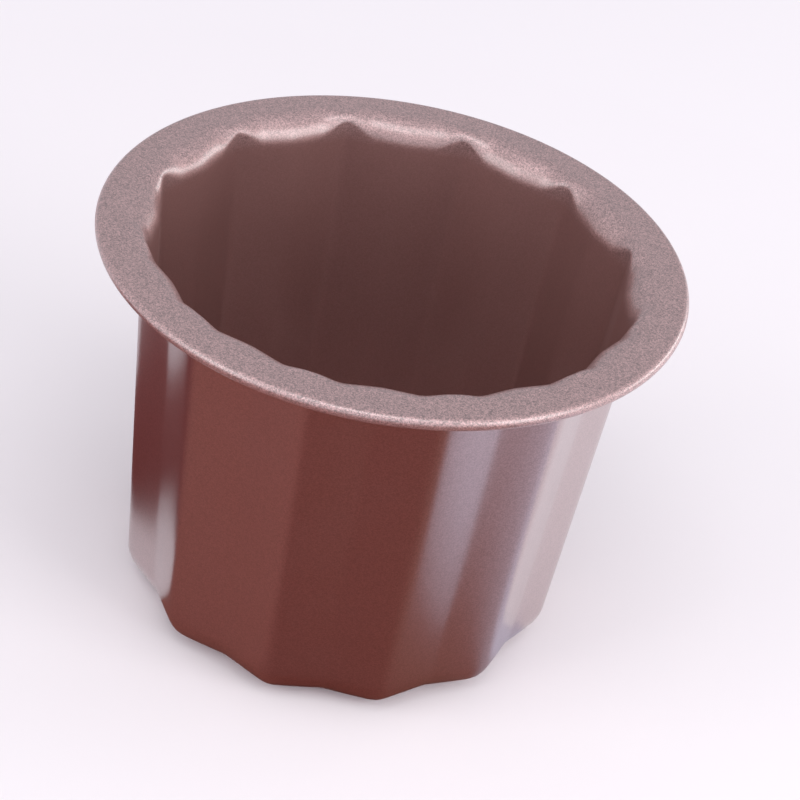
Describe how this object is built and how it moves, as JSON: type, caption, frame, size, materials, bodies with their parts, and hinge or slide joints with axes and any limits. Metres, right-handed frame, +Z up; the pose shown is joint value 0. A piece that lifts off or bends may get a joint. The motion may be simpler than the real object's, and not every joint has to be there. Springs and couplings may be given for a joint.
{
  "type": "fluted baking mould cup",
  "caption": "Deep fluted baking mould cup of drawn steel sheet with a flat flange, a hemmed edge and a metallic release coat inside and out.",
  "frame": {"origin": "middle of the base underside, on the surface that the cup stands on", "axes": "+Z up through the mouth along the cup's axis; +X through one of the ridges"},
  "size_m": [0.07, 0.07, 0.0505],
  "materials": {
    "drawn_steel": "bare cold-rolled sheet, hidden under the coats",
    "release_coat": "satin rose-champagne metallic with fine flake",
    "plain_coat": "satin rose-champagne metallic with fine flake"
  },
  "bodies": {
    "root": {"steel_body": "drawn_steel", "inner_release_coat": "release_coat", "outer_coat": "plain_coat"}
  },
  "joints": []
}
